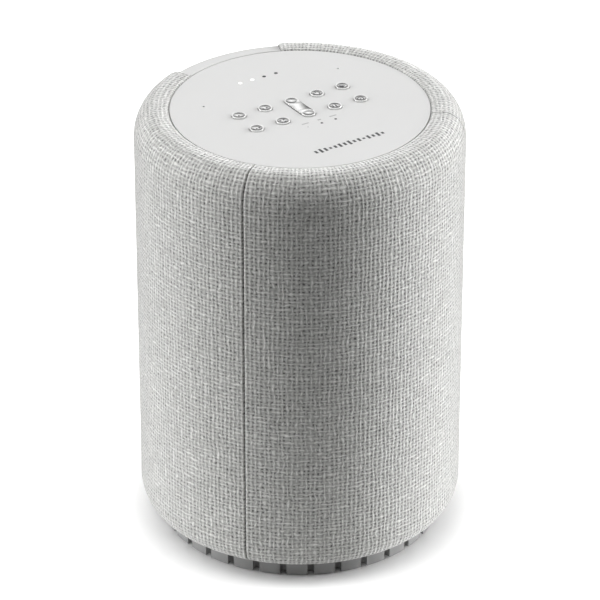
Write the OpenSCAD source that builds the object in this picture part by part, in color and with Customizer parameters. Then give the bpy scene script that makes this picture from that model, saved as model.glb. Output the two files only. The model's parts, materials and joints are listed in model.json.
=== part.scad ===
/* [Body] */
// Outside diameter over the fabric
body_d = 140; // [139:0.5:144]
// Height of the fabric's crest above the floor
body_h = 195.2; // [193:0.2:205]
// Thickness of the fabric with its backing
fabric_t = 1.2; // [0.8:0.1:1.3]
// Wall of the shell that carries the fabric
shell_t = 2.6; // [2:0.1:2.7]
// Angle of the bare spine at the back
spine_angle = 48; // [44:1:60]
// Angle from the front to each seam
seam_angle = 52; // [40:1:70]
/* [Controls] */
// Diameter of a button
button_d = 6; // [5:0.1:6.4]
// Spacing of the buttons from left to right
button_pitch = 12.9; // [12:0.1:14]
// Distance of each row of buttons from the middle
button_row = 7; // [6:0.1:8]
// Travel of a button
button_travel = 0.6; // [0.3:0.05:0.6]
// Length of the volume rocker
rocker_l = 19.2; // [16:0.1:20]
// Width of the volume rocker
rocker_w = 6; // [5:0.1:6.4]
// Height that the buttons and the rocker stand above the plate
proud = 0.5; // [0.3:0.05:1]
// Spacing of the four light dots
dot_pitch = 5.95; // [5:0.05:8]
/* [Base] */
// Radius of the fluted ring
ring_r = 60.9; // [60:0.1:62]
// Number of upright flutes
flutes = 32; // [16:1:40]
// Width of a flute
flute_w = 3; // [2:0.1:4]
// Depth of a flute
flute_depth = 3; // [2:0.1:4]
/* [Drivers] */
// Height of the woofer's centre
woofer_z = 57; // [56:0.5:58]
// Height of the tweeter's centre
tweeter_z = 124; // [123:0.5:125]
// Height of the passive radiators' centres
radiator_z = 68; // [56:1:90]
// Stroke of the woofer and of the radiators, each way
stroke = 4; // [2:0.5:4]

/* [Hidden] */
$fn = 96;
body_r = body_d / 2;
// Corners of the body: width and height of each quarter ellipse
top_corner = [9.75, 13.05];
low_corner = [5.4, 8.9];
skirt_z = 8.85;
skirt_r = body_r - low_corner.x;
crest_r = body_r - top_corner.x;
mouth_r = body_r - 14.9;
mouth_drop = 1.2;
glue = 0.1;
shell_in = fabric_t + glue + shell_t;
spine_in = fabric_t + 0.2;
spine_gap = 0.15;
inside_r = body_r - shell_in;
plate_r = mouth_r - 0.35;
plate_t = 2.5;
plate_top = body_h - 0.7;
plate_low = plate_top - plate_t;
floor_gap = 0.4;
// Inner radius of the flanges at the foot of the shell and the spine
flange_r = 57;
ring_top = skirt_z + spine_in - 0.05;
foot_t = 2.3;
base_t = 3.2;
// Inner radius of the fluted ring
ring_in = 51;
cab_low = 13;
cab_half = body_r - 24;
cab_corner = body_r - 5;
cab_wall = 3;
cap_low = plate_top - 44;
cap_t = 3;
cap_top = cap_low + cap_t;
seal_t = 0.8;
board_t = 1.6;
main_z = cap_top + 7.5;
control_z = plate_low - 8;
mat_top = control_z + board_t + 2.6;
stem_low = mat_top + button_travel + 0.1;
pivot_z = plate_low - 0.9;
pin_r = 0.75;
// Radius and depth of the dishes in the buttons and in the rocker's ends
dish_r = 9;
dish = 0.35;
// Distance of the rocker's two stems from its pivot
rocker_stem = 6.6;
// Circles that the screws of each piece stand on
post_r = 50;
cap_screw_r = 59;
base_screw_r = 40;
control_screw_r = 42;
main_screw_r = 36;
woofer_screw_r = 37.8;
tweeter_screw_r = 20.2;
radiator_screw_r = 35.4;
// Thread radius and length of the case, board and driver screws
screw_r = 1.5;
screw_l = 10;
board_screw = 1.1;
board_screw_l = 6;
driver_screw = 1.3;
driver_screw_l = 8;
// Radius of the posts that the case screws go into
post = 4.5;
// Thickness of the drivers' flanges
flange_t = 3;
// Ribs under the top plate, and the boards' radii
rib_r = 46.7;
control_board_r = 45;
main_board_r = 44;
// Clearance round the buttons and the rocker
control_gap = 0.3;
lead_hole = [12, 12];
mic_at = [33.6, 22.5];
dot_y = 33.1;
status_y = -16.9;
status_pitch = 6.85;
inlet_z = 27;
jack_z = 47;
panel_floor = body_r - 10.5;
panel_back = panel_floor - 2;
window = [33, 46];
window_z = 42;
mute_z = cap_top + 21;
// Lowest point of the woofer cone's neck, 0.3 mm clear of the spider when the cone is right in
neck_z = stroke - 19.1;
woofer_r = 41;
woofer_hole = 34.8;
tweeter_r = 23;
tweeter_hole = 16.4;
radiator_r = 38;
radiator_hole = 32.7;
grey = [0.83, 0.83, 0.82];
dark = [0.2, 0.2, 0.21];
steel = [0.7, 0.7, 0.72];
board_green = [0.1, 0.3, 0.18];

// ---- shared shapes ----

// Points of a quarter ellipse about a centre, from one angle to another
function arc(centre, size, from, to, steps = 10) = [
  for (i = [0:steps])
    let (a = from + (to - from) * i / steps)
      [centre.x + size.x * cos(a), centre.y + size.y * sin(a)]
];

// Section of the body's outside, moved inwards by a depth, from the skirt up to the mouth
function skin(depth) = concat(
  arc([skirt_r, skirt_z + low_corner.y], low_corner - [depth, depth], -90, 0),
  arc([crest_r, body_h - top_corner.y], top_corner - [depth, depth], 0, 90),
  [[mouth_r, body_h - mouth_drop - depth]]
);

function backwards(list) = [for (i = [len(list) - 1:-1:0]) list[i]];

// A layer of the body between two depths, over a range of angles
module layer(depth_out, depth_in, from, to) {
  rotate_extrude(angle = to - from, start = from)
    polygon(concat(skin(depth_out), backwards(skin(depth_in))));
}

module tube(r_out, r_in, low, high) {
  translate([0, 0, low])
    difference() {
      cylinder(h = high - low, r = r_out);
      translate([0, 0, -1]) cylinder(h = high - low + 2, r = r_in);
    }
}

module rod(r, low, high) {
  translate([0, 0, low]) cylinder(h = high - low, r = r);
}

module block(low, high) {
  translate(low) cube(high - low);
}

// An oblong with round ends, long along Y
module oblong(length, width) {
  square([width, length - width], center = true);
  for (s = [-1, 1])
    translate([0, s * (length - width) / 2]) circle(d = width);
}

module around(count, radius, first = 0) {
  for (i = [0:count - 1])
    rotate(first + i * 360 / count) translate([radius, 0, 0]) children();
}

// A pan-head screw, head up, with the underside of its head at the origin
module screw(length, r) {
  rod(r, -length, 0);
  difference() {
    rod(r * 1.9, 0, r * 1.2);
    translate([0, 0, r * 0.6]) cylinder(h = r, r = r * 0.8, $fn = 6);
  }
}

// Places for pieces that face the front, the right or the left of the cabinet
module facing_front(z) {
  translate([0, -cab_half, z]) rotate([90, 0, 0]) children();
}

module facing_side(side) {
  translate([side * cab_half, 0, radiator_z]) rotate([0, side * 90, 0]) children();
}

// Half roll of a driver's edge, with a flat lip outside it
module roll_edge(r_in, r_out, z, lip, t = 0.6) {
  middle = (r_in + r_out) / 2;
  bulge = (r_out - r_in) / 2;
  rotate_extrude() {
    intersection() {
      translate([middle, z])
        difference() {
          circle(r = bulge, $fn = 48);
          circle(r = bulge - t, $fn = 48);
        }
      translate([r_in, z]) square([2 * bulge, 2 * bulge]);
    }
    translate([r_out - t, z]) square([lip + t, t]);
  }
}

// A round wire through a list of points
module wire(points, d) {
  for (i = [0:len(points) - 2]) {
    step = points[i + 1] - points[i];
    translate(points[i])
      rotate([0, acos(step.z / norm(step)), atan2(step.y, step.x)])
        cylinder(h = norm(step), d = d, $fn = 24);
  }
  for (i = [1:len(points) - 2]) translate(points[i]) sphere(d = d + 0.1, $fn = 24);
}

// ---- fabric, shell and spine ----

module fabric(from, to) {
  color(grey) layer(0, fabric_t, from, to);
}

module fabric_front() {
  fabric(-90 - seam_angle, -90 + seam_angle);
}

module fabric_right() {
  fabric(-90 + seam_angle, 90 - spine_angle / 2);
}

module fabric_left() {
  fabric(90 + spine_angle / 2, 270 - seam_angle);
}

// Flange that turns inwards at the foot of the shell and of the spine
module skirt_flange(from, to) {
  rotate_extrude(angle = to - from, start = from)
    translate([flange_r, skirt_z + spine_in]) square([skirt_r - flange_r, 2.4]);
}

module grille_shell() {
  rows = 6;
  columns = 10;
  window_low = skirt_z + 14;
  pitch_z = (body_h - 40) / rows;
  pitch_a = 8;
  from = 90 + spine_angle / 2 + spine_gap;
  to = 450 - spine_angle / 2 - spine_gap;
  color(dark)
    difference() {
      union() {
        layer(fabric_t + glue, shell_in, from, to);
        skirt_flange(from, to);
      }
      for (middle = [-90, 0, 180], row = [0:rows - 1], column = [0:columns - 1]) {
        first = middle + (column - columns / 2) * pitch_a + 1;
        rotate_extrude(angle = pitch_a - 2, start = first)
          translate([inside_r - 2, window_low + row * pitch_z])
            square([10, pitch_z - 4]);
      }
    }
}

// Raised top of the spine, level with the plate
module spine_brow(from, to) {
  low = body_h - shell_in - 1.1;
  rotate_extrude(angle = to - from, start = from)
    polygon([[mouth_r + 0.4, low], [crest_r, body_h - shell_in + 0.5],
             [crest_r, body_h - spine_in], [mouth_r + 0.4, plate_top - 0.05]]);
}

module rear_spine() {
  half = spine_angle / 2 - spine_gap;
  color(grey)
    difference() {
      union() {
        layer(spine_in, shell_in, 90 - half, 90 + half);
        skirt_flange(90 - half, 90 + half);
        spine_brow(90 - half, 90 + half);
      }
      block([-window.x / 2, inside_r - 10, window_z - window.y / 2],
            [window.x / 2, body_r + 1, window_z + window.y / 2]);
      block([-2, inside_r - 10, mute_z - 1.9], [2, body_r + 1, mute_z + 4.4]);
    }
}

// ---- top plate and its controls ----

// Middles of the eight buttons, left to right, back row first
function button_place(i) = [
  [-2, -1, 1, 2][i % 4] * button_pitch,
  i < 4 ? button_row : -button_row
];

module top_plate() {
  color(grey)
    difference() {
      union() {
        rod(plate_r, plate_low, plate_top);
        around(4, control_screw_r, 45) rod(3, control_z + board_t, plate_low + 1);
        around(6, rib_r)
          block([-0.6, -3, plate_low - 5], [0.6, 3, plate_low + 1]);
        for (s = [-1, 1])
          block([s * 5.2 - 0.9, -2, pivot_z - 1.8], [s * 5.2 + 0.9, 2, plate_low + 1]);
      }
      for (i = [0:7])
        translate(button_place(i)) rod(button_d / 2 + control_gap, plate_low - 1, plate_top + 1);
      translate([0, 0, plate_low - 1])
        linear_extrude(plate_t + 2) oblong(rocker_l + 2 * control_gap + 0.2, rocker_w + 2 * control_gap);
      for (i = [-1.5:1.5])
        translate([i * dot_pitch, dot_y]) rod(0.85, plate_low - 1, plate_top + 1);
      for (i = [-1:1])
        translate([i * status_pitch, status_y]) rod(0.6, plate_low - 1, plate_top + 1);
      for (s = [-1, 1])
        translate([s * mic_at.x, mic_at.y]) rod(0.5, plate_low - 1, plate_top + 1);
      around(4, control_screw_r, 45) rod(board_screw, control_z, plate_low + 0.8);
      translate([0, 0, pivot_z]) rotate([0, 90, 0]) rod(pin_r, -7, 7);
    }
}

// Ball that hollows a fingertip's dish out of a button's top
module dish_cutter() {
  translate([0, 0, plate_top + proud + dish_r - dish]) sphere(r = dish_r);
}

module button(i) {
  color(steel)
    translate(button_place(i))
      difference() {
        union() {
          rod(button_d / 2, plate_low - 1, plate_top + proud);
          rod(button_d / 2 + 0.9, plate_low - 1.6, plate_low - 0.3);
          rod(1.2, stem_low, plate_low - 1);
        }
        dish_cutter();
      }
}

module volume_rocker() {
  saddle_r = 60;
  saddle = 0.25;
  color(steel)
    difference() {
      union() {
        translate([0, 0, plate_low - 0.6])
          linear_extrude(plate_t + proud + 0.6) oblong(rocker_l, rocker_w);
        block([-2.5, -2.2, pivot_z - 1.6], [2.5, 2.2, plate_low]);
        for (s = [-1, 1])
          translate([0, s * rocker_stem, 0]) rod(1.2, stem_low, plate_low);
      }
      translate([0, 0, plate_top + proud + saddle_r - saddle])
        rotate([0, 90, 0]) rod(saddle_r, -rocker_w, rocker_w);
      for (s = [-1, 1]) translate([0, s * (rocker_l - rocker_w) / 2]) dish_cutter();
      translate([0, 0, pivot_z]) rotate([0, 90, 0]) rod(pin_r + 0.05, -7, 7);
    }
}

module rocker_pin() {
  color(steel) translate([0, 0, pivot_z]) rotate([0, 90, 0]) rod(pin_r, -6.1, 6.1);
}

module keypad_mat() {
  half = [2 * button_pitch + 5.5, 11.5];
  low = control_z + board_t;
  color([0.85, 0.85, 0.8]) {
    translate([0, 0, low])
      linear_extrude(0.9) {
        square([2 * half.x, 2 * half.y - 6], center = true);
        square([2 * half.x - 6, 2 * half.y], center = true);
        for (x = [-1, 1], y = [-1, 1])
          translate([x * (half.x - 3), y * (half.y - 3)]) circle(r = 3);
      }
    for (i = [0:7]) translate(button_place(i)) rod(2.4, low + 0.5, mat_top);
    for (s = [-1, 1]) translate([0, s * rocker_stem]) rod(2.2, low + 0.5, mat_top);
  }
}

module control_board() {
  color(board_green)
    difference() {
      rod(control_board_r, control_z, control_z + board_t);
      around(4, control_screw_r, 45)
        rod(board_screw + 0.5, control_z - 1, control_z + board_t + 1);
    }
}

// Lights, microphones and the connector on the control board
module control_board_parts() {
  high = control_z + board_t;
  color(dark) {
    for (i = [-1.5:1.5])
      translate([i * dot_pitch, dot_y]) block([-0.8, -0.8, high], [0.8, 0.8, high + 0.7]);
    for (i = [-1:1])
      translate([i * status_pitch, status_y])
        block([-0.8, -0.8, high], [0.8, 0.8, high + 0.7]);
    for (s = [-1, 1])
      translate([s * mic_at.x, mic_at.y]) block([-1.9, -1.5, high], [1.9, 1.5, high + 1.1]);
    block([-41, -8, control_z - 3], [-37, 8, control_z]);
  }
}

module light_guides() {
  low = control_z + board_t + 1;
  color([0.95, 0.95, 0.95]) {
    block([-1.5 * dot_pitch - 1.5, dot_y - 1.5, low + 1],
          [1.5 * dot_pitch + 1.5, dot_y + 1.5, low + 2.2]);
    for (i = [-1.5:1.5]) translate([i * dot_pitch, dot_y]) rod(0.85, low, plate_top);
    block([-status_pitch - 1.5, status_y - 1.3, low + 1],
          [status_pitch + 1.5, status_y + 1.3, low + 2.2]);
    for (i = [-1:1]) translate([i * status_pitch, status_y]) rod(0.6, low, plate_top);
  }
}

module mic_boots() {
  color(dark)
    for (s = [-1, 1])
      translate([s * mic_at.x, mic_at.y])
        tube(2.2, 0.6, control_z + board_t + 1.1, plate_low);
}

// The eight equal screws of the two round boards
module board_screws() {
  color(steel) {
    around(4, control_screw_r, 45)
      translate([0, 0, control_z]) rotate([180, 0, 0]) screw(board_screw_l, board_screw);
    around(4, main_screw_r, 45) translate([0, 0, main_z + board_t]) screw(board_screw_l, board_screw);
  }
}

// Ring under the plate's rim, with pads over the posts of the cabinet cap
module top_frame() {
  high = plate_low - 0.05;
  color(dark)
    difference() {
      union() {
        tube(plate_r, 47.5, high - 3, high);
        tube(crest_r, plate_r - 1, high - 3.4, body_h - shell_in - mouth_drop - 0.1);
        around(4, post_r, 45) rod(post, high - 6, high - 1);
      }
      around(4, post_r, 45) rod(screw_r + 0.15, high - 7, high + 1);
      around(4, post_r, 45) rod(3.2, high - 3, high + 1);
    }
}

// The twelve equal screws of the frame, the cabinet cap and the base
module case_screws() {
  color(steel) {
    around(4, post_r, 45) translate([0, 0, plate_low - 3.05]) screw(screw_l, screw_r);
    around(4, cap_screw_r, 45) translate([0, 0, cap_top]) screw(screw_l, screw_r);
    around(4, base_screw_r, 45)
      translate([0, 0, foot_t + 2]) rotate([180, 0, 0]) screw(screw_l, screw_r);
  }
}

// ---- base ----

module base_ring() {
  flute_r = ring_r - flute_depth + flute_w / 2;
  color([0.56, 0.56, 0.56]) {
    translate([0, 0, floor_gap])
      linear_extrude(ring_top - 0.8 - floor_gap)
        difference() {
          circle(r = ring_r);
          circle(r = ring_in);
          around(flutes, flute_r, 90 + 180 / flutes) {
            circle(d = flute_w);
            translate([0, -flute_w / 2]) square([flute_depth, flute_w]);
          }
        }
    tube(ring_r, ring_in, ring_top - 0.8, ring_top);
    tube(ring_in + 3, ring_in, ring_top - 0.2, cab_low - 0.1);
    tube(ring_in + 0.5, ring_in - 5, foot_t + base_t + 0.2, foot_t + base_t + 2.2);
  }
}

module base_plate() {
  color(dark)
    difference() {
      rod(ring_in - 0.3, foot_t, foot_t + base_t);
      around(4, base_screw_r, 45) rod(screw_r + 0.2, foot_t - 1, foot_t + base_t + 1);
      around(4, base_screw_r, 45) rod(3.3, foot_t - 1, foot_t + 2);
    }
}

module rubber_foot() {
  color([0.12, 0.12, 0.12])
    rotate_extrude() {
      translate([44, 0.5]) square([5.5, foot_t - 0.5]);
      translate([44.5, 0]) square([4.5, 1]);
    }
}

// ---- cabinet ----

module cabinet_outline(inset) {
  intersection() {
    square(2 * (cab_half - inset), center = true);
    circle(r = cab_corner - inset);
  }
}

module cabinet() {
  color(dark)
    difference() {
      union() {
        difference() {
          translate([0, 0, cab_low])
            linear_extrude(cap_low - seal_t - cab_low) cabinet_outline(0);
          translate([0, 0, cab_low + cab_wall])
            linear_extrude(cap_low) cabinet_outline(cab_wall);
        }
        around(4, base_screw_r, 45) rod(post, foot_t + base_t, cab_low + 1);
        around(4, cap_screw_r, 45)
          rod(4, cap_low - 22, cap_low - seal_t);
      }
      around(4, base_screw_r, 45) rod(screw_r, foot_t + base_t - 1, cab_low + 2);
      around(4, cap_screw_r, 45) rod(screw_r, cap_low - 14, cap_low + 1);
      facing_front(woofer_z) {
        rod(woofer_hole, -10, 5);
        around(4, woofer_screw_r, 45) rod(driver_screw, -10, 5);
      }
      facing_front(tweeter_z) {
        rod(tweeter_hole, -10, 5);
        around(3, tweeter_screw_r, 90) rod(driver_screw, -10, 5);
      }
      for (side = [-1, 1])
        facing_side(side) {
          rod(radiator_hole, -10, 5);
          around(4, radiator_screw_r, 45) rod(driver_screw, -10, 5);
        }
    }
}

module cap_gasket() {
  color(dark)
    translate([0, 0, cap_low - seal_t])
      linear_extrude(seal_t)
        difference() {
          cabinet_outline(0.2);
          cabinet_outline(cab_wall - 0.2);
          around(4, cap_screw_r, 45) circle(r = 2);
        }
}

module cabinet_cap() {
  color(dark)
    difference() {
      union() {
        translate([0, 0, cap_low]) linear_extrude(cap_t) cabinet_outline(0);
        around(4, post_r, 45) rod(post, cap_top - 1, plate_low - 6.05);
        around(4, main_screw_r, 45) rod(3, cap_top - 1, main_z);
      }
      around(4, cap_screw_r, 45) rod(screw_r + 0.15, cap_low - 1, cap_top + 1);
      around(4, main_screw_r, 45) rod(board_screw, cap_top, main_z + 1);
      around(4, post_r, 45) rod(screw_r, plate_low - 16, plate_low);
      translate(lead_hole) rod(3, cap_low - 1, cap_top + 1);
    }
}

module cap_grommet() {
  color([0.12, 0.12, 0.12])
    difference() {
      translate(lead_hole) {
        rod(3, cap_low, cap_top);
        rod(4.5, cap_top, cap_top + 1);
      }
      for (s = [-1, 1])
        translate([lead_hole.x + s * 1.4, lead_hole.y]) rod(1, cap_low - 1, cap_top + 2);
    }
}

module wadding() {
  color([0.9, 0.9, 0.88])
    block([-30, 10, cab_low + cab_wall + 1], [30, cab_half - cab_wall - 1, cap_low - 30]);
}

// A flat ring with holes for its driver's screws
module driver_gasket(r_out, r_in, count, screws, first) {
  difference() {
    tube(r_out, r_in, 0, seal_t);
    around(count, screws, first) rod(driver_screw + 0.2, -1, seal_t + 1);
  }
}

module driver_gaskets() {
  color(dark) {
    facing_front(woofer_z) driver_gasket(woofer_r, woofer_hole, 4, woofer_screw_r, 45);
    facing_front(tweeter_z) driver_gasket(tweeter_r, tweeter_hole, 3, tweeter_screw_r, 90);
    for (side = [-1, 1])
      facing_side(side) driver_gasket(radiator_r, radiator_hole, 4, radiator_screw_r, 45);
  }
}

module driver_screws() {
  color(steel) {
    facing_front(woofer_z)
      around(4, woofer_screw_r, 45) translate([0, 0, flange_t]) screw(driver_screw_l, driver_screw);
    facing_front(tweeter_z)
      around(3, tweeter_screw_r, 90) translate([0, 0, flange_t]) screw(driver_screw_l, driver_screw);
    for (side = [-1, 1])
      facing_side(side)
        around(4, radiator_screw_r, 45) translate([0, 0, flange_t]) screw(driver_screw_l, driver_screw);
  }
}

// ---- woofer: local +Z is the way it faces, and 0 is the cabinet's wall ----

module woofer_basket() {
  color([0.15, 0.15, 0.16])
    facing_front(woofer_z)
      difference() {
        union() {
          tube(woofer_r, 32.2, seal_t, flange_t);
          tube(34.5, 33.2, -4, 1);
          tube(34.5, 31.8, -4, -2.5);
          rotate_extrude()
            polygon([[34.5, -4], [26, -22], [26, -24], [24, -24], [24, -21.4], [32.3, -4]]);
          tube(25, 12, -24, -22);
          tube(24.5, 20.6, -22.5, -20.6);
          block([-6, 29, -13], [6, 34, -8]);
        }
        around(4, woofer_screw_r, 45) rod(driver_screw + 0.3, 0, 4);
        around(6, 30, 60)
          block([-8, -9, -18], [8, 9, -7]);
      }
}

module woofer_front_plate() {
  color(steel) facing_front(woofer_z) tube(26, 11.6, -26.6, -24.05);
}

module woofer_magnet() {
  color([0.2, 0.2, 0.2]) facing_front(woofer_z) tube(28, 15, -38, -26.65);
}

module woofer_yoke() {
  color(steel)
    facing_front(woofer_z) {
      rod(26, -42, -38.05);
      rod(10, -38.1, -24.1);
    }
}

module woofer_cone() {
  neck = 10.85;
  edge = 26.4;
  color([0.12, 0.12, 0.13])
    facing_front(woofer_z) {
      rotate_extrude()
        polygon([[neck, neck_z], [edge, -3.1], [edge, -2.3], [neck, neck_z + 1]]);
      rotate_extrude()
        intersection() {
          translate([0, neck_z - 7.9])
            difference() {
              circle(r = 15.4);
              circle(r = 14.8);
            }
          translate([0, neck_z + 1.7]) square([12.1, 20]);
        }
    }
}

// A former that clears the yoke's floor at the end of its stroke, and the winding round it
module voice_coil() {
  gap_middle = -25.3;
  winding = 1.3 + 0.75 * stroke;
  color([0.75, 0.45, 0.2])
    facing_front(woofer_z) {
      tube(10.8, 10.5, -37 + stroke, neck_z + 1);
      tube(11.2, 10.8, gap_middle - winding, gap_middle + winding);
    }
}

module woofer_surround() {
  color([0.1, 0.1, 0.1]) facing_front(woofer_z) roll_edge(26.4, 31.8, -2.5, 1.4);
}

// Centre spring: a thin corrugated ring
module woofer_spider() {
  from = 11.3;
  to = 20.7;
  waves = 3;
  path = [for (i = [0:24]) [from + (to - from) * i / 24, -19.9 + 0.5 * sin(i * 360 * waves / 24)]];
  color([0.85, 0.7, 0.4])
    facing_front(woofer_z) {
      rotate_extrude()
        polygon(concat(path, [for (p = backwards(path)) p - [0, 0.4]]));
      tube(11.3, 10.8, -20.3, -19.9);
      tube(22.5, 20.7, -20.5, -20.1);
    }
}

// ---- tweeter ----

module tweeter_body() {
  color([0.15, 0.15, 0.16])
    facing_front(tweeter_z)
      difference() {
        union() {
          tube(tweeter_r, 14.6, seal_t, flange_t);
          rod(16, -18, seal_t);
        }
        rod(14.6, -6, 4);
        around(3, tweeter_screw_r, 90) rod(driver_screw + 0.3, 0, 4);
      }
}

module tweeter_dome() {
  color([0.25, 0.25, 0.27])
    facing_front(tweeter_z)
      rotate_extrude()
        intersection() {
          translate([0, -16])
            difference() {
              circle(r = 18.8);
              circle(r = 18.4);
            }
          translate([0, -3]) square([12.4, 10]);
        }
}

module tweeter_surround() {
  color([0.2, 0.2, 0.22]) facing_front(tweeter_z) roll_edge(12.45, 14.55, -2.6, 0, 0.3);
}

// ---- passive radiators ----

module radiator_frames() {
  color([0.15, 0.15, 0.16])
    for (side = [-1, 1])
      facing_side(side)
        difference() {
          union() {
            tube(radiator_r, 30.4, seal_t, flange_t);
            tube(32.4, 31.3, -4, 1);
            tube(32.4, 29.9, -4, -2.5);
          }
          around(4, radiator_screw_r, 45) rod(driver_screw + 0.3, 0, 4);
        }
}

module radiator(side) {
  color([0.14, 0.14, 0.15])
    facing_side(side) {
      rod(23.6, -4, -1.9);
      rod(12, -7, -3.9);
    }
}

module radiator_surrounds() {
  color([0.1, 0.1, 0.1])
    for (side = [-1, 1]) facing_side(side) roll_edge(23.65, 29.9, -2.5, 1.4);
}

// ---- electronics ----

module main_board() {
  color(board_green)
    difference() {
      rod(main_board_r, main_z, main_z + board_t);
      around(4, main_screw_r, 45)
        rod(board_screw + 0.2, main_z - 1, main_z + board_t + 1);
    }
}

module main_board_parts() {
  high = main_z + board_t;
  color(dark) {
    block([-7, -7, high], [7, 7, high + 1.6]);
    block([-40, -8, high], [-36, 8, high + 3]);
    for (x = [26, 34], y = [-12, 0]) translate([x, y]) rod(3.9, high, high + 12);
    for (y = [-26, -34]) block([-12, y - 3.5, high], [-4, y + 3.5, high + 5]);
    for (y = [-26, -34]) block([4, y - 3.5, high], [12, y + 3.5, high + 5]);
    block([14, 30, high], [24, 36, high + 6]);
  }
}

module heatsink() {
  base_low = main_z + board_t + 1.6;
  half = 18;
  color([0.75, 0.75, 0.77])
    translate([0, 18, base_low])
      rotate([90, 0, 0])
        linear_extrude(2 * half) {
          translate([-half, 0]) square([2 * half, 3]);
          for (i = [0:8]) translate([-half + i * (2 * half - 1.2) / 8, 2.9]) square([1.2, 9]);
        }
}

module wireless_module() {
  high = main_z + board_t;
  color(steel) {
    block([-14, 22, high], [6, 36, high + 0.8]);
    block([-13, 23, high + 0.8], [1, 35, high + 2.8]);
  }
}

module power_board() {
  board_y = cab_half + 3.5;
  color(board_green) block([-32, board_y, 68], [32, board_y + board_t, 140]);
  color(dark) {
    for (x = [-28, 28], z = [72, 136])
      translate([x, board_y, z]) rotate([90, 0, 0]) rod(3, 0, 3.5);
    block([-12, board_y + board_t, 84], [12, board_y + board_t + 10.5, 110]);
    block([-10, board_y + board_t, 118], [10, board_y + board_t + 8, 132]);
    for (x = [-20, 20]) translate([x, board_y + board_t + 5.2]) rod(5, 84, 106);
    block([-20, board_y + board_t, 70], [-4, board_y + board_t + 8, 78]);
  }
}

// Tray behind the window in the spine
module connector_panel() {
  color(dark)
    difference() {
      intersection() {
        block([-window.x / 2 - 2, panel_back, window_z - window.y / 2 - 2],
              [window.x / 2 + 2, body_r, window_z + window.y / 2 + 2]);
        rod(inside_r - 0.1, 0, body_h);
      }
      block([-window.x / 2, panel_floor, window_z - window.y / 2],
            [window.x / 2, body_r, window_z + window.y / 2]);
      translate([0, panel_back - 1, inlet_z])
        block([-10, 0, -6], [10, 5, 6]);
      translate([0, panel_back - 1, jack_z]) rotate([-90, 0, 0]) rod(3.6, 0, 5);
    }
}

// Two-pole mains inlet with its pins
module power_inlet() {
  mouth = 4.2;
  color([0.12, 0.12, 0.12])
    translate([0, 0, inlet_z])
      difference() {
        block([-9.95, cab_half + 0.5, -5.95], [9.95, panel_floor, 5.95]);
        for (s = [-1, 1])
          translate([s * 4.2, cab_half + 3, 0]) rotate([-90, 0, 0]) rod(mouth, 0, 15);
        block([-4.2, cab_half + 3, -3.2], [4.2, panel_floor + 1, 3.2]);
      }
  color(steel)
    for (s = [-1, 1])
      translate([s * 4.3, cab_half + 3, inlet_z]) rotate([-90, 0, 0]) rod(1.2, 0, 8);
}

module line_in_jack() {
  color([0.12, 0.12, 0.12])
    translate([0, 0, jack_z])
      difference() {
        union() {
          block([-4.5, cab_half + 0.5, -4.5], [4.5, panel_back, 4.5]);
          translate([0, panel_back - 0.5, 0]) rotate([-90, 0, 0]) rod(3.5, 0, 3.1);
        }
        translate([0, cab_half + 1, 0]) rotate([-90, 0, 0]) rod(1.8, 0, 20);
      }
}

// Slide switch behind the spine, on its own small board
module mute_switch_body() {
  color(dark)
    translate([0, 0, mute_z])
      difference() {
        block([-5, inside_r - 7, -7], [5, inside_r - 0.8, 9]);
        block([-2.2, inside_r - 4.5, -2.2], [2.2, inside_r + 1, 4.7]);
      }
  color(board_green)
    translate([0, 0, mute_z]) block([-9, inside_r - 8.6, -12], [9, inside_r - 7, 12]);
}

module mute_slider() {
  color(dark)
    translate([0, 0, mute_z]) {
      block([-1.9, inside_r - 4.2, -1.9], [1.9, inside_r - 0.4, 1.9]);
      block([-1.6, inside_r - 4.2, -1.5], [1.6, body_r - 0.4, 1.5]);
    }
}

// Leads to the drivers, from the inlet and to the main board, and the ribbon to the controls
module internal_leads() {
  lead = 1.96;
  board_y = cab_half + 3.5;
  ribbon_rise = control_z - main_z - 7.6;
  ribbon = [for (i = [0:8]) [-38.5 - 2 * sin(i * 22.5), main_z + 4.6 + ribbon_rise * i / 8]];
  color([0.1, 0.1, 0.1]) {
    wire([[lead_hole.x - 1.4, lead_hole.y, main_z], [lead_hole.x - 1.4, lead_hole.y, 138],
          [6, -18, 130], [4, 18.5 - cab_half, tweeter_z + 2]], lead);
    wire([[lead_hole.x + 1.4, lead_hole.y, main_z], [lead_hole.x + 1.4, lead_hole.y, 130],
          [lead_hole.x + 1.4, -20, 106], [4, -36.5, woofer_z + 34.9]], lead);
    wire([[-11, 52, inlet_z], [-13, 52, inlet_z + 8], [-13, board_y + 0.8, 60],
          [-13, board_y + 0.8, 68]], lead);
    wire([[18, board_y + 0.8, 140], [18, board_y - 2, 156],
          [18, 40, main_z + board_t + 10], [18, 33, main_z + board_t + 6.9]], lead);
  }
  color([0.85, 0.85, 0.85])
    translate([0, 7, 0])
      rotate([90, 0, 0])
        linear_extrude(14)
          polygon(concat(ribbon, [for (p = backwards(ribbon)) p + [0.4, 0]]));
}

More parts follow.
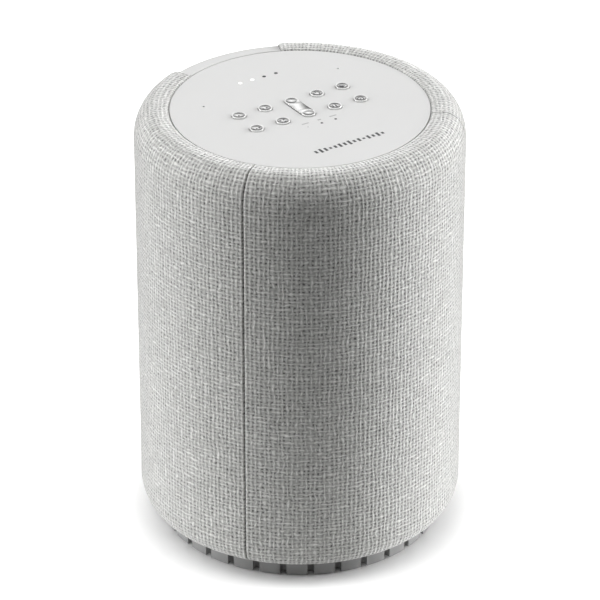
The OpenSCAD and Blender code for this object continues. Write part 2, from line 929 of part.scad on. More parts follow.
fabric_front();
fabric_left();
fabric_right();
grille_shell();
rear_spine();
top_plate();
top_frame();
button(0);  // button_1
button(1);  // button_2
button(2);  // button_3
button(3);  // button_4
button(4);  // button_5
button(5);  // button_6
button(6);  // button_7
button(7);  // button_8
volume_rocker();
rocker_pin();
keypad_mat();
control_board();
control_board_parts();
light_guides();
mic_boots();
board_screws();
case_screws();
base_ring();
base_plate();
rubber_foot();
cabinet();
cabinet_cap();
cap_gasket();
cap_grommet();
driver_gaskets();
driver_screws();
woofer_basket();
woofer_front_plate();
woofer_magnet();
woofer_yoke();
woofer_cone();
voice_coil();
woofer_surround();
woofer_spider();
tweeter_body();
tweeter_dome();
tweeter_surround();
radiator_frames();
radiator(-1);  // radiator_left
radiator(1);  // radiator_right
radiator_surrounds();
wadding();
main_board();
main_board_parts();
heatsink();
wireless_module();
power_board();
connector_panel();
power_inlet();
line_in_jack();
mute_switch_body();
mute_slider();
internal_leads();
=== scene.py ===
import json
import math

import bpy
import numpy as np
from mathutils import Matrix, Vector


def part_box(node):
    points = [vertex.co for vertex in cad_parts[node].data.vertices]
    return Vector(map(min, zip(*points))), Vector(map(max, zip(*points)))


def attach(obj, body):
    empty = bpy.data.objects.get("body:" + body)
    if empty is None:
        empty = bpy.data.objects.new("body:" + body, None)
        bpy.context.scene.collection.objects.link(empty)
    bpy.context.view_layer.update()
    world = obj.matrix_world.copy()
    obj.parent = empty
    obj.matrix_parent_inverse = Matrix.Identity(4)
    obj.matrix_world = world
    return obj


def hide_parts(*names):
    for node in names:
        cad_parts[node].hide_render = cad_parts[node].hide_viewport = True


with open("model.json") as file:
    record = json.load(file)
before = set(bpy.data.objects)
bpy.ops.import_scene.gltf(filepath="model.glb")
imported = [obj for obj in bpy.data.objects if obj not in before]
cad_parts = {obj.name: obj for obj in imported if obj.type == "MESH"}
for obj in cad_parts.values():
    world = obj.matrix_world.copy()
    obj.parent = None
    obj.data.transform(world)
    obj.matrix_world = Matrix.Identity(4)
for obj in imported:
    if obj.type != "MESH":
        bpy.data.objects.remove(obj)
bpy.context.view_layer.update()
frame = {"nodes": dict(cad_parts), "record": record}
MM = 0.001
scene = bpy.context.scene

# ---------------------------------------------------------------- camera

CAMERA_AZIMUTH = -32.55
CAMERA_ELEVATION = 29.66
CAMERA_DISTANCE = 1.6825
CAMERA_TARGET = np.array([0, 0, 0.095])
CAMERA_LENS = 233.75
CAMERA_SHIFT = 0.0230
SENSOR_WIDTH = 36


def direction(azimuth, elevation):
    """Unit vector from the object towards a viewer; azimuth 0 stands in front, at -Y."""
    a, e = math.radians(azimuth), math.radians(elevation)
    return np.array([math.sin(a) * math.cos(e), -math.cos(a) * math.cos(e), math.sin(e)])


def make_camera():
    data = bpy.data.cameras.new("camera")
    data.sensor_width = SENSOR_WIDTH
    data.lens = CAMERA_LENS
    data.shift_y = CAMERA_SHIFT
    camera = bpy.data.objects.new("camera", data)
    camera.location = CAMERA_TARGET + CAMERA_DISTANCE * direction(CAMERA_AZIMUTH, CAMERA_ELEVATION)
    camera.rotation_euler = (math.radians(90 - CAMERA_ELEVATION), 0, math.radians(CAMERA_AZIMUTH))
    scene.collection.objects.link(camera)
    scene.camera = camera


# ---------------------------------------------------------------- node helpers

class Wire:
    """A number socket in a node tree, with arithmetic that adds Math nodes."""

    def __init__(self, tree, socket):
        self.tree, self.socket = tree, socket

    def _math(self, operation, *others):
        node = self.tree.nodes.new("ShaderNodeMath")
        node.operation = operation
        for i, value in enumerate((self, *others)):
            if isinstance(value, Wire):
                self.tree.links.new(value.socket, node.inputs[i])
            else:
                node.inputs[i].default_value = value
        return Wire(self.tree, node.outputs[0])

    def __add__(self, other): return self._math("ADD", other)
    def __sub__(self, other): return self._math("SUBTRACT", other)
    def __mul__(self, other): return self._math("MULTIPLY", other)
    def floor(self): return self._math("FLOOR")
    def fract(self): return self._math("FRACT")
    def abs(self): return self._math("ABSOLUTE")
    def sin(self): return self._math("SINE")
    def sqrt(self): return self._math("SQRT")
    def power(self, other): return self._math("POWER", other)
    def max(self, other): return self._math("MAXIMUM", other)
    def above(self, other): return self._math("GREATER_THAN", other)

    def step(self, low, high):
        """0 at low, 1 at high, smooth between; low may be the greater, and both may be Wires."""
        node = self.tree.nodes.new("ShaderNodeMapRange")
        node.interpolation_type = "SMOOTHSTEP"
        for name, value in (("Value", self), ("From Min", low), ("From Max", high)):
            if isinstance(value, Wire):
                self.tree.links.new(value.socket, node.inputs[name])
            else:
                node.inputs[name].default_value = value
        return Wire(self.tree, node.outputs["Result"])


class Material:
    """A material with a Principled shader and short names for what feeds it."""

    def __init__(self, name, base, roughness, **sockets):
        self.material = bpy.data.materials.new(name)
        self.material.use_nodes = True
        self.tree = self.material.node_tree
        self.shader = self.tree.nodes["Principled BSDF"]
        self.shader.inputs["Base Color"].default_value = (*base, 1)
        self.shader.inputs["Roughness"].default_value = roughness
        for key, value in sockets.items():
            self.shader.inputs[key.replace("_", " ")].default_value = value

    def position(self):
        """Object coordinates, which are metres in the object's own frame."""
        node = self.tree.nodes.new("ShaderNodeTexCoord")
        return node.outputs["Object"]

    def attribute(self, name):
        node = self.tree.nodes.new("ShaderNodeAttribute")
        node.attribute_name = name
        return node.outputs["Vector"]

    def split(self, vector):
        node = self.tree.nodes.new("ShaderNodeSeparateXYZ")
        self.tree.links.new(vector, node.inputs[0])
        return [Wire(self.tree, s) for s in node.outputs]

    def join(self, x, y, z):
        node = self.tree.nodes.new("ShaderNodeCombineXYZ")
        for i, value in enumerate((x, y, z)):
            if isinstance(value, Wire):
                self.tree.links.new(value.socket, node.inputs[i])
            else:
                node.inputs[i].default_value = value
        return node.outputs[0]

    def noise(self, vector, scale, detail=2.0, roughness=0.5):
        node = self.tree.nodes.new("ShaderNodeTexNoise")
        node.inputs["Scale"].default_value = scale
        node.inputs["Detail"].default_value = detail
        node.inputs["Roughness"].default_value = roughness
        self.tree.links.new(vector, node.inputs["Vector"])
        return Wire(self.tree, node.outputs["Fac"])

    def scatter(self, vector):
        """A number from 0 to 1 that jumps from one value of the vector to the next."""
        node = self.tree.nodes.new("ShaderNodeTexWhiteNoise")
        self.tree.links.new(vector, node.inputs["Vector"])
        return Wire(self.tree, node.outputs["Value"])

    def colours(self, share, stops):
        """A colour ramp; stops are (place, (r, g, b)) in order."""
        node = self.tree.nodes.new("ShaderNodeValToRGB")
        ramp = node.color_ramp
        while len(ramp.elements) < len(stops):
            ramp.elements.new(0.5)
        for element, (place, colour) in zip(ramp.elements, stops, strict=True):
            element.position = place
            element.color = (*colour, 1)
        self.tree.links.new(share.socket, node.inputs[0])
        return node.outputs[0]

    def feed(self, socket, source):
        self.tree.links.new(getattr(source, "socket", source), self.shader.inputs[socket])

    def bump(self, height, distance, strength=1.0):
        node = self.tree.nodes.new("ShaderNodeBump")
        node.inputs["Distance"].default_value = distance
        node.inputs["Strength"].default_value = strength
        self.tree.links.new(height.socket, node.inputs["Height"])
        self.tree.links.new(node.outputs[0], self.shader.inputs["Normal"])


# ---------------------------------------------------------------- light and floor

# Soft lights of the studio: (azimuth from the camera, elevation, sharpness, strength)
LIGHTS = [
    (105, 5, 30, 34.5),
    (-96, 5, 20, 17.2),
    (180, 32, 36, 1.4),
    (90, 62, 30, 3.2),
    (-90, 62, 30, 4.0),
    (-50, 72, 6, 0.52),
]
AMBIENT = 0.03


def make_world():
    """A studio of broad soft lights: each is a lobe that falls off with the angle from its middle."""
    world = bpy.data.worlds.new("studio")
    world.use_nodes = True
    scene.world = world
    tree = world.node_tree
    coordinates = tree.nodes.new("ShaderNodeTexCoord")
    total = None
    for azimuth, elevation, sharpness, strength in LIGHTS:
        node = tree.nodes.new("ShaderNodeVectorMath")
        node.operation = "DOT_PRODUCT"
        tree.links.new(coordinates.outputs["Generated"], node.inputs[0])
        node.inputs[1].default_value = tuple(direction(CAMERA_AZIMUTH + azimuth, elevation))
        lobe = Wire(tree, node.outputs["Value"]).max(0.0).power(float(sharpness)) * strength
        total = lobe if total is None else total + lobe
    total = total + AMBIENT
    tree.links.new(total.socket, tree.nodes["Background"].inputs["Strength"])
    tree.nodes["Background"].inputs["Color"].default_value = (1, 1, 1, 1)


# The floor, in metres: half its side, and the distances from the object's middle over which it starts
# to give light back and over which the contact shadow ends
FLOOR_HALF = 12.0
FLOOR_BOUNCE = (0.5, 0.1)
CONTACT_SHADOW = (0.058, 0.086)
FLOOR_GLOW = 0.45


def make_floor():
    """Pale floor that glows a little outside the contact shadow, and gives back less light far off."""
    mesh = bpy.data.meshes.new("floor")
    corners = ((-1, -1), (1, -1), (1, 1), (-1, 1))
    mesh.from_pydata([(x * FLOOR_HALF, y * FLOOR_HALF, 0) for x, y in corners], [], [(0, 1, 2, 3)])
    floor = bpy.data.objects.new("floor", mesh)
    scene.collection.objects.link(floor)
    look = Material("floor", (0.9, 0.9, 0.9), 0.9)
    seen = Wire(look.tree, look.tree.nodes.new("ShaderNodeLightPath").outputs["Is Camera Ray"])
    x, y, _ = look.split(look.position())
    away = (x * x + y * y).sqrt()
    near = away.step(*FLOOR_BOUNCE)
    look.feed("Base Color", look.colours(near * 0.5 + seen * 2.0, [
        (0, (0.1, 0.1, 0.1)), (0.5, (0.7, 0.7, 0.69)), (1, (0.97, 0.97, 0.97))]))
    look.shader.inputs["Emission Color"].default_value = (1, 1, 1, 1)
    look.feed("Emission Strength", seen * (away.step(*CONTACT_SHADOW) * FLOOR_GLOW))
    mesh.materials.append(look.material)


# ---------------------------------------------------------------- the body's outline

CREST_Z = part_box("fabric_front")[1].z / MM
BODY_R = -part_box("fabric_front")[0].y / MM
# Radial and upright half-axes of the rounded corners, and how far in the mouth lies, in millimetres
TOP_CORNER = (9.75, 13.05)
LOW_CORNER = (5.4, 8.9)
MOUTH_IN = 14.9
SKIRT_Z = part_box("fabric_front")[0].z / MM
SKIRT_R = BODY_R - LOW_CORNER[0]
CREST_R = BODY_R - TOP_CORNER[0]
MOUTH_R = BODY_R - MOUTH_IN


def outline():
    """The body's section from the skirt to the mouth, as a fine list of (radius, height) in millimetres."""
    low = [(SKIRT_R + LOW_CORNER[0] * math.cos(a), SKIRT_Z + LOW_CORNER[1] * (1 + math.sin(a)))
           for a in np.radians(np.linspace(-90, 0, 25))]
    top = [(CREST_R + TOP_CORNER[0] * math.cos(a), CREST_Z - TOP_CORNER[1] * (1 - math.sin(a)))
           for a in np.radians(np.linspace(0, 90, 33))]
    return low + top


def smooth_line(points, count):
    """count places along a line of points, evenly spaced, with the outward normal at each."""
    p = np.array(points, float)
    along = np.concatenate([[0], np.cumsum(np.linalg.norm(np.diff(p, axis=0), axis=1))])
    at = np.linspace(0, along[-1], count)
    line = np.stack([np.interp(at, along, p[:, k]) for k in (0, 1)], axis=1)
    slope = np.gradient(line, axis=0)
    slope /= np.linalg.norm(slope, axis=1)[:, None]
    normal = np.stack([slope[:, 1], -slope[:, 0]], axis=1)
    return line, normal, along[-1]


# ---------------------------------------------------------------- woven cloth

THREADS_AROUND = 224
ROW_PITCH = 1.84
ACROSS = 4  # mesh columns for each upright thread
UP = 3  # mesh rows for each level thread
CLOTH_T = 0.95
SEAM = 52.0  # angle of both seams from the front, in degrees
SPINE_HALF = 24.0  # half the spine's angle
STRAY_OVER, STRAY = 3.5, 0.24  # threads stray by up to this share of a pitch, over this many pitches
GROOVE_HALF, GROOVE_DEEP = 0.32, 1.1
PUCKER_HIGH, PUCKER_AT, PUCKER_WIDE = 0.04, 1.2, 0.6  # the cloth's swell beside a seam
FOLD_WIDE, FOLD_DEEP = 1.3, 1.25  # the rounding where a panel folds round the spine
EDGE_COLUMNS = (0.06, 0.14)  # extra mesh columns from each edge, which keep a seam's groove narrow
PROFILE_SAMPLES = 2000
BACK_ROWS = 9


def wander(seed, threads, places, period):
    """Smooth random numbers from -1 to 1 for each thread, which change over a period along it."""
    count, knots = int(threads.max()) + 2, int(places.max() / period) + 3
    table = np.random.default_rng(seed).random((count, knots)) * 2 - 1
    t = places / period
    k = np.floor(t).astype(int)
    f = t - k
    f = f * f * (3 - 2 * f)
    row = threads.astype(int)
    return table[row, k] * (1 - f) + table[row, k + 1] * f


def shift(seed, across, along, period, most):
    """How far the threads stand off their even places, in pitches; 0 at the first and last."""
    i = np.floor(across)
    f = across - i
    count = across.max()
    low, high = wander(seed, i, along, period), wander(seed, i + 1, along, period)
    edge = np.clip(np.minimum(across, count - across) / 3, 0, 1)
    return (low * (1 - f) + high * f) * most * edge


def weave_height(u, v, seed):
    """Height of a plain weave in millimetres, 0 at the crowns, over threads u (around) and v (up)."""
    crown, shallow, deep = 0.04, 0.05, 0.3
    rounded = np.sin(np.pi * (u % 1)) * np.sin(np.pi * (v % 1))
    corner_u, corner_v = np.round(u).astype(int), np.round(v).astype(int)
    corners = (corner_u.max() + 1, corner_v.max() + 1)
    depth = np.random.default_rng(seed + 60).uniform(shallow, deep, corners)
    gap = np.clip(1 - np.abs(u - corner_u) / 0.3, 0, 1) * np.clip(1 - np.abs(v - corner_v) / 0.4, 0, 1)
    return crown * (rounded - 1) - gap * depth[corner_u, corner_v]


def cloth_panel(name, node, start, end, seams, seed):
    """One panel between two angles. seams says which edges are sewn; the others fold round the spine."""
    tuck_low = [(SKIRT_R - 2.2, SKIRT_Z + 1.4), (SKIRT_R - 1.2, SKIRT_Z + 0.35)]
    tuck_top = [(CREST_R - 2.2, CREST_Z - 0.12), (MOUTH_R + 0.8, CREST_Z - 0.38),
                (MOUTH_R - 0.05, CREST_Z - 0.8), (MOUTH_R - 0.3, CREST_Z - 2.4)]
    profile = tuck_low + outline() + tuck_top
    length = smooth_line(profile, 10)[2]
    rows = int(round(length / ROW_PITCH)) * UP + 1
    threads = int(round((end - start) * THREADS_AROUND / 360))
    extra = [*EDGE_COLUMNS, *(threads - step for step in EDGE_COLUMNS)]
    steps = np.concatenate([np.linspace(0, threads, threads * ACROSS + 1), extra])
    steps.sort()
    columns = len(steps)
    fine_line, fine_normal, _ = smooth_line(profile, PROFILE_SAMPLES)
    u, v = np.meshgrid(steps, np.linspace(0, (rows - 1) / UP, rows))
    u_at = u + shift(seed + 10, u, v, STRAY_OVER, STRAY)
    v_at = v + shift(seed + 20, v, u, STRAY_OVER, STRAY)
    angle = np.radians(start + (end - start) * u_at / threads)
    place = v_at / v.max() * (len(fine_line) - 1)
    step = np.arange(len(fine_line))
    line = np.stack([np.interp(place, step, fine_line[:, k]) for k in (0, 1)], axis=2)
    normal = np.stack([np.interp(place, step, fine_normal[:, k]) for k in (0, 1)], axis=2)
    height = weave_height(u, v, seed)
    # How deep each point lies below the crowns, plus the share of a seam's groove; the cloth's colour takes
    # painted shade from it.
    shade_depth = -height
    arc = np.radians(end - start) * BODY_R
    for distance, sewn in ((u_at / threads * arc, seams[0]), ((1 - u_at / threads) * arc, seams[1])):
        if sewn:
            groove = np.clip(1 - distance / GROOVE_HALF, 0, 1)
            pucker = PUCKER_HIGH * np.exp(-((distance - PUCKER_AT) / PUCKER_WIDE) ** 2)
            height = height - GROOVE_DEEP * groove + pucker
            shade_depth = shade_depth + groove
        else:
            height = height - FOLD_DEEP * np.clip(1 - distance / FOLD_WIDE, 0, 1) ** 2
    height = height * np.minimum(1.0, np.minimum(v, v.max() - v) / 2.0)

    def sheet_points(depth):
        radius, z = line[:, :, 0] + depth * normal[:, :, 0], line[:, :, 1] + depth * normal[:, :, 1]
        return np.stack([radius * np.cos(angle), radius * np.sin(angle), z], axis=2)

    back = sheet_points(-CLOTH_T - 0.15)
    vertices = list(sheet_points(height).reshape(-1, 3))
    marks = list(np.stack([u + seed * 1000, v, shade_depth], axis=2).reshape(-1, 3))
    index = np.arange(rows * columns).reshape(rows, columns)
    back_index = {}

    def back_vertex(r, c):
        if (r, c) not in back_index:
            back_index[(r, c)] = len(vertices)
            vertices.append(back[r, c])
            marks.append(marks[index[r, c]])
        return back_index[(r, c)]

    faces = [(index[r, c], index[r, c + 1], index[r + 1, c + 1], index[r + 1, c])
             for r in range(rows - 1) for c in range(columns - 1)]
    # The hidden side keeps one row in nine; its outer edges keep every row, so the panel is closed.
    kept_rows = [*range(0, rows - 1, BACK_ROWS), rows - 1]
    for low, high in zip(kept_rows[:-1], kept_rows[1:], strict=True):
        for c in range(columns - 1):
            near = range(low, high + 1) if c == 0 else (low, high)
            far = range(high, low - 1, -1) if c == columns - 2 else (high, low)
            faces.append([back_vertex(r, c) for r in near] + [back_vertex(r, c + 1) for r in far])
    last_r, last_c = rows - 1, columns - 1
    for c in range(last_c):
        faces.append((index[0, c + 1], index[0, c], back_vertex(0, c), back_vertex(0, c + 1)))
        faces.append((index[last_r, c], index[last_r, c + 1],
                      back_vertex(last_r, c + 1), back_vertex(last_r, c)))
    for r in range(last_r):
        faces.append((index[r, 0], index[r + 1, 0], back_vertex(r + 1, 0), back_vertex(r, 0)))
        faces.append((index[r + 1, last_c], index[r, last_c],
                      back_vertex(r, last_c), back_vertex(r + 1, last_c)))
    mesh = bpy.data.meshes.new(name)
    mesh.from_pydata((np.array(vertices) * MM).tolist(), [], [[int(k) for k in face] for face in faces])
    weave = mesh.attributes.new("weave", "FLOAT_VECTOR", "POINT")
    weave.data.foreach_set("vector", np.array(marks, np.float32).reshape(-1))
    mesh.polygons.foreach_set("use_smooth", [True] * len(mesh.polygons))
    mesh.update()
    panel = bpy.data.objects.new(name, mesh)
    scene.collection.objects.link(panel)
    mesh.materials.append(cloth_look())
    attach(panel, "housing")
    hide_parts(node)
    return panel


_cloth = []


def cloth_look():
    """Light grey linen: pale threads whose tone wanders, with painted shade in the holes between them and in
    the seams' grooves, and a painted highlight along their crowns.
    """
    if _cloth:
        return _cloth[0]
    look = Material("woven_cloth", (0.6, 0.6, 0.59), 0.85)
    look.shader.inputs["Sheen Weight"].default_value = 1.0
    look.shader.inputs["Sheen Roughness"].default_value = 0.4
    u, v, shade_depth = look.split(look.attribute("weave"))
    sway = [look.noise(look.join(u * 0.75, v * 0.75, z), 1.0, 1.0) - 0.5 for z in (21.0, 33.0)]
    u, v = u + sway[0] * 0.8, v + sway[1] * 0.8
    i, j = u.floor(), v.floor()
    du, dv = (u.fract() - 0.5).abs(), (v.fract() - 0.5).abs()

    knot = look.scatter(look.join(i, j, 0.0))
    # A random share for each hole between the threads: how much painted shade that hole gets.
    gap = look.scatter(look.join((u + 0.5).floor(), (v + 0.5).floor(), 7.0))
    warp_tone = look.noise(look.join(i * 7.3, v * 0.2, 0.0), 1.0, 1.0)
    weft_tone = look.noise(look.join(u * 0.2, j * 5.7, 4.0), 1.0, 1.0)
    warp_wide = look.noise(look.join(i * 3.1, v * 0.7, 9.0), 1.0, 1.0) * 0.44 + 0.05
    weft_wide = look.noise(look.join(u * 0.7, j * 4.3, 17.0), 1.0, 1.0) * 0.44 + 0.05
    warp_fibre = look.noise(look.join(u * 14.0, v * 1.6, 3.0), 1.0, 2.0)
    weft_fibre = look.noise(look.join(u * 1.6, v * 14.0, 8.0), 1.0, 2.0)

    # A plain weave, with a crossing here and there that lies the other way.
    level_over = ((i + j + knot.above(0.86)) * 0.5).fract().above(0.25)
    side = level_over * 2.0 - 1.0

    def height_of(distance, half_width, bow):
        return distance.step(half_width, half_width * 0.2) * 0.55 + bow * 0.3

    warp_high = height_of(du, warp_wide, side * (v.fract() * math.pi).sin() * -1.0)
    weft_high = height_of(dv, weft_wide, side * (u.fract() * math.pi).sin())
    level_on_top = (weft_high - warp_high).step(-0.05, 0.05)
    tone = warp_tone + (weft_tone - warp_tone) * level_on_top
    fibre = warp_fibre + (weft_fibre - warp_fibre) * level_on_top
    high = warp_high.max(weft_high)
    # Where the holes between the threads lie; below, these holes get painted shade and a dent in the bump.
    hole = du.step(0.25, 0.45) * dv.step(0.25, 0.45)
    value = (tone - 0.5) * 0.25 + (fibre - 0.5) * 0.16 + 0.51
    # Painted light: each thread's crown gets a painted highlight, so its edges look shaded, and each hole
    # gets painted shade.
    value = value + high.step(0.2, 0.8) * (knot * 0.21 + 0.16) - hole * gap * 0.42
    # Painted shade: down in a seam's groove the cloth is darkened by up to four tenths.
    value = value * (shade_depth.step(0.5, 0.9) * -0.4 + 1.0)
    look.feed("Base Color", look.colours(value, [
        (0, (0.02, 0.02, 0.019)), (0.3, (0.2, 0.2, 0.195)),
        (0.6, (0.53, 0.53, 0.515)), (1, (0.9, 0.9, 0.88))]))
    look.bump(high * 0.08 - hole * 0.08 + fibre * 0.04, 1.0 * MM, 1.0)
    _cloth.append(look.material)
    return look.material


def plastic(name, base, roughness, grain=0.02, grain_scale=2200.0, tint=0.02):
    """Moulded plastic: fine grain in the surface, slight change of tone and of gloss."""
    look = Material(name, base, roughness)
    where = look.position()
    grains = look.noise(where, grain_scale, 3.0)
    cloud = look.noise(where, 35.0, 3.0)
    look.feed("Base Color", look.colours(cloud, [
        (0.3, tuple(c * (1 - tint) for c in base)), (0.7, tuple(min(1, c * (1 + tint)) for c in base))]))
    look.feed("Roughness", (cloud - 0.5) * 0.12 + (grains - 0.5) * 0.08 + roughness)
    look.bump(grains, grain * MM, 0.6)
    return look.material


def metal(name, base, roughness, streak=(1.0, 1.0, 12.0), scale=900.0):
    """Metal with fine drawn or turned streaks."""
    look = Material(name, base, roughness, Metallic=1.0)
    stretch = look.tree.nodes.new("ShaderNodeVectorMath")
    stretch.operation = "MULTIPLY"
    look.tree.links.new(look.position(), stretch.inputs[0])
    stretch.inputs[1].default_value = streak
    lines = look.noise(stretch.outputs[0], scale, 3.0)
    look.feed("Roughness", (lines - 0.5) * 0.18 + roughness)
    look.feed("Base Color", look.colours(lines, [
        (0.25, tuple(c * 0.9 for c in base)), (0.75, tuple(min(1, c * 1.06) for c in base))]))
    look.bump(lines, 0.004 * MM, 0.4)
    return look.material


def make_looks():
    return {
        "light_plastic": plastic("satin_plastic", (0.735, 0.735, 0.73), 0.42, grain=0.006, tint=0.01),
        "ring_plastic": plastic("ring_plastic", (0.33, 0.33, 0.33), 0.5, tint=0.05),
        "black_plastic": plastic("black_plastic", (0.028, 0.028, 0.03), 0.5, tint=0.1),
        "connector_plastic": plastic("socket_plastic", (0.02, 0.02, 0.021), 0.3, tint=0.1),
        "components": plastic("chip_epoxy", (0.035, 0.035, 0.037), 0.55, tint=0.15),
        "rubber": plastic("rubber", (0.02, 0.02, 0.02), 0.8, grain=0.03, tint=0.15),
        "silicone": plastic("silicone", (0.62, 0.62, 0.58), 0.5, tint=0.04),
        "light_guide": plastic("light_guide", (0.9, 0.9, 0.9), 0.25, tint=0.01),
        "circuit_board": plastic("solder_mask", (0.012, 0.09, 0.04), 0.3, tint=0.2),
        "cone_paper": plastic(
            "cone_paper", (0.03, 0.03, 0.032), 0.75, grain=0.05, grain_scale=700.0, tint=0.2),
        "spider_cloth": plastic(
            "varnished_cloth", (0.6, 0.42, 0.16), 0.6, grain=0.05, grain_scale=900.0),
        "dome_silk": plastic("coated_silk", (0.05, 0.05, 0.055), 0.5, grain=0.03, grain_scale=1500.0),
        "wadding": plastic("wadding", (0.85, 0.85, 0.83), 0.95, grain=0.4, grain_scale=300.0, tint=0.08),
        "lead_sheath": plastic("lead_sheath", (0.025, 0.025, 0.025), 0.45, tint=0.1),
        "button_metal": metal("button_metal", (0.8, 0.8, 0.795), 0.15, streak=(1.0, 1.0, 1.0), scale=2500.0),
        "steel": metal("zinc_steel", (0.6, 0.6, 0.62), 0.3),
        "magnet": plastic("ferrite", (0.05, 0.05, 0.052), 0.6, grain=0.05, grain_scale=800.0, tint=0.2),
        "copper": metal("enamelled_copper", (0.75, 0.35, 0.16), 0.3, streak=(1.0, 30.0, 1.0)),
        "heatsink": metal("extruded_aluminium", (0.7, 0.7, 0.72), 0.35, streak=(1.0, 0.05, 1.0)),
    }


def paint_cad(looks):
    slots = {s["node"]: s["material_slot"] for s in frame["record"]["subparts"]}
    for node, obj in frame["nodes"].items():
        look = looks.get(slots[node])
        if look is None:
            continue
        obj.data.materials.clear()
        obj.data.materials.append(look)


# ---------------------------------------------------------------- printed marks and lights

PLATE_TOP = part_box("top_plate")[1].z / MM
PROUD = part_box("button_1")[1].z / MM - PLATE_TOP
# Places and sizes on the plate, in millimetres
DOT_PITCH, DOT_Y, DOT_R = 5.95, 33.1, 0.78
UNLIT_DOT_R = 0.85
STATUS_PITCH, STATUS_Y, STATUS_R, FAINT_R = 6.85, -16.9, 0.58, 0.4
DASH_Y = -13.8
LEVEL_X, LEVEL_Y, LEVEL_PITCH, LEVEL_WIDE = -16.3, -38.0, 2.33, 1.15
DISH_R, DISH_DEEP = 9.0, 0.35
SYMBOL_SIZE = 1.45


def bar(x, y, width, height):
    w, h = width / 2, height / 2
    return [(x - w, y - h), (x + w, y - h), (x + w, y + h), (x - w, y + h)]


def disc(x, y, radius, count=28):
    return [(x + radius * math.cos(a), y + radius * math.sin(a))
            for a in np.linspace(0, 2 * math.pi, count, endpoint=False)]


def band(x, y, inner, outer, start, end, count=24):
    """Part of a ring, as one closed outline."""
    turns = np.radians(np.linspace(start, end, count))
    return ([(x + outer * math.cos(a), y + outer * math.sin(a)) for a in turns]
            + [(x + inner * math.cos(a), y + inner * math.sin(a)) for a in turns[::-1]])


def triangle(x, y, size):
    return [(x - size * 0.5, y - size * 0.58), (x + size * 0.6, y), (x - size * 0.5, y + size * 0.58)]


def printed(name, shapes, body, look, height, thickness=0.02):
    """Closed outlines in millimetres, as thin solids that lie on a height given at each (x, y)."""
    vertices, faces = [], []
    for shape in shapes:
        n, first = len(shape), len(vertices)
        vertices += [(x * MM, y * MM, (height(x, y) - 0.01) * MM) for x, y in shape]
        vertices += [(x * MM, y * MM, (height(x, y) + thickness) * MM) for x, y in shape]
        faces.append([first + n - 1 - k for k in range(n)])
        faces.append([first + n + k for k in range(n)])
        faces += [[first + k, first + (k + 1) % n, first + n + (k + 1) % n, first + n + k]
                  for k in range(n)]
    mesh = bpy.data.meshes.new(name)
    mesh.from_pydata(vertices, [], faces)
    mesh.materials.append(look)
    piece = bpy.data.objects.new(name, mesh)
    scene.collection.objects.link(piece)
    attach(piece, body)
    return piece


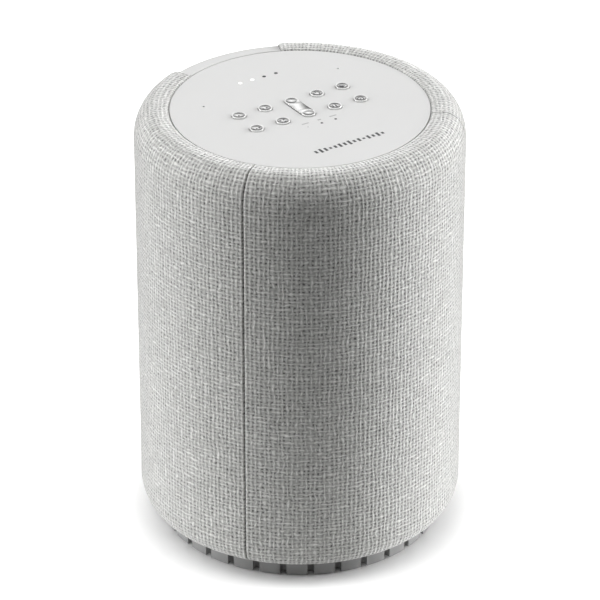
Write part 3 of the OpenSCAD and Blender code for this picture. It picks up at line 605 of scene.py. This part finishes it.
def make_marks():
    ink = plastic("dark_ink", (0.09, 0.09, 0.092), 0.6, grain=0.004, tint=0.08)
    pale_ink = plastic("pale_ink", (0.47, 0.47, 0.47), 0.55, grain=0.004, tint=0.05)
    smoked = plastic("smoked_window", (0.045, 0.045, 0.047), 0.25, grain=0.002, tint=0.05)

    def flat(x, y):
        return PLATE_TOP

    levels = [2.2, 3.4, 2.7, 1.4, 2.1, 3.0, 2.4, 3.5, 1.9, 2.6, 1.2, 2.9, 2.0, 3.2, 1.6]
    row = [bar(LEVEL_X + LEVEL_PITCH * k, LEVEL_Y, LEVEL_WIDE, level) for k, level in enumerate(levels)]
    printed("level_bars", row, "housing", ink, flat)
    dashes = [bar(-6.2, DASH_Y, 3.4, 0.7), bar(0.7, DASH_Y, 1.6, 0.9), bar(7.5, DASH_Y, 3.4, 0.7),
              disc(-STATUS_PITCH, STATUS_Y, FAINT_R)]
    printed("status_dashes", dashes, "housing", pale_ink, flat)

    lamp = Material("lit_lamp", (0.95, 0.95, 0.95), 0.3)
    lamp.shader.inputs["Emission Color"].default_value = (1, 1, 1, 1)
    glow = lamp.noise(lamp.position(), 900.0, 1.0)
    lamp.feed("Emission Strength", glow * 0.3 + 0.6)
    lit = [disc(x * DOT_PITCH, DOT_Y, DOT_R) for x in (-1.5, -0.5)]
    unlit = ([disc(x * DOT_PITCH, DOT_Y, UNLIT_DOT_R) for x in (0.5, 1.5)]
             + [disc(x, STATUS_Y, STATUS_R) for x in (0, STATUS_PITCH)])
    printed("lit_dots", lit, "housing", lamp.material, flat)
    printed("unlit_dots", unlit, "housing", smoked, flat)

    def symbol(name, x0, y0, shapes):
        """A symbol that lies in the dish of a button."""
        def dish(x, y):
            out = (x - x0) ** 2 + (y - y0) ** 2
            return PLATE_TOP + PROUD - DISH_DEEP + DISH_R - math.sqrt(DISH_R ** 2 - out)

        moved = [[(x * SYMBOL_SIZE + x0, y * SYMBOL_SIZE + y0) for x, y in shape] for shape in shapes]
        piece = printed(f"symbol_{name}", moved, name, ink, dish, 0.012)

    symbols = [
        [disc(0, 0, 0.32)],
        [disc(-0.55, 0, 0.32), disc(0.55, 0, 0.32)],
        [band(0, 0, 0.72, 1.0, 120, 420), bar(0, 0.85, 0.28, 0.9)],
        [triangle(0, 0, 1.5)],
        [disc(-0.9, 0, 0.3), disc(0, 0, 0.3), disc(0.9, 0, 0.3)],
        [disc(x, y, 0.3) for x in (-0.5, 0.5) for y in (-0.5, 0.5)],
        [bar(-0.45, 0, 0.35, 1.5), bar(0.45, 0, 0.35, 1.5)],
        [band(0, 0, 0.72, 1.0, -60, 240), disc(0, 0, 0.3)],
    ]
    for k, shapes in enumerate(symbols):
        low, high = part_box(f"button_{k + 1}")
        symbol(f"button_{k + 1}", (low.x + high.x) / 2 / MM, (low.y + high.y) / 2 / MM, shapes)


# Widths of the rounded edges in millimetres
SOFT_EDGES = {
    "top_plate": 0.2, "rear_spine": 0.3, "base_ring": 0.25, "volume_rocker": 0.15, "rubber_foot": 0.3,
    "base_plate": 0.3, "connector_panel": 0.25, "power_inlet": 0.3, "line_in_jack": 0.2, "mute_slider": 0.2,
    **{f"button_{k}": 0.12 for k in range(1, 9)},
}
SHARP_ANGLE = 35


def soften(node, width):
    """Rounds a node's edges a little, without touching its mesh."""
    obj = frame["nodes"][node]
    weld = obj.modifiers.new("weld", "WELD")
    weld.merge_threshold = 0.002 * MM
    bevel = obj.modifiers.new("bevel", "BEVEL")
    bevel.width = width * MM
    bevel.segments = 3
    bevel.limit_method = "ANGLE"
    bevel.angle_limit = math.radians(SHARP_ANGLE)
    bevel.harden_normals = True
    bevel.use_clamp_overlap = True


# ---------------------------------------------------------------- build

scene.view_settings.view_transform = "Standard"
make_camera()
make_world()
make_floor()
paint_cad(make_looks())
for node, width in SOFT_EDGES.items():
    soften(node, width)
make_marks()
cloth_panel("cloth_front", "fabric_front", -90 - SEAM, -90 + SEAM, (True, True), 1)
cloth_panel("cloth_right", "fabric_right", -90 + SEAM, 90 - SPINE_HALF, (True, False), 2)
cloth_panel("cloth_left", "fabric_left", 90 + SPINE_HALF, 270 - SEAM, (False, True), 3)
